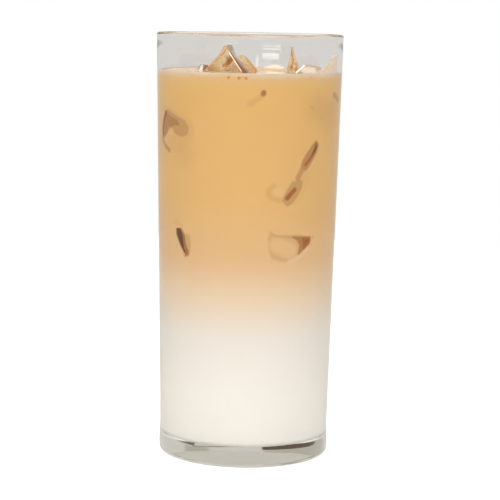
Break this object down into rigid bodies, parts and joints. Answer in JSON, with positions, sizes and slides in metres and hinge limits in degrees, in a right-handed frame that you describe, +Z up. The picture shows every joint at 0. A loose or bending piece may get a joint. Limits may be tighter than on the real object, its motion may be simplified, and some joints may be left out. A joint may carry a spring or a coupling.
{
  "type": "iced latte",
  "caption": "Iced latte in a clear highball glass: white milk below fades into pale coffee above, and clear ice stands out of the surface.",
  "frame": {"origin": "centre of the glass's foot, on the table", "axes": "+Z up, +X to the right and +Y away from the viewer"},
  "size_m": [0.066, 0.066, 0.15],
  "materials": {
    "clear_glass": "polished",
    "cold_milk": "smooth liquid",
    "milky_coffee": "smooth liquid",
    "clear_ice": "wet and melted"
  },
  "bodies": {
    "root": {"glass": "clear_glass", "milk_layer": "cold_milk", "coffee_layer": "milky_coffee", "ice_peak": "clear_ice", "ice_behind": "clear_ice", "ice_left_chip": "clear_ice", "ice_shard": "clear_ice", "ice_right_block": "clear_ice"}
  },
  "joints": []
}
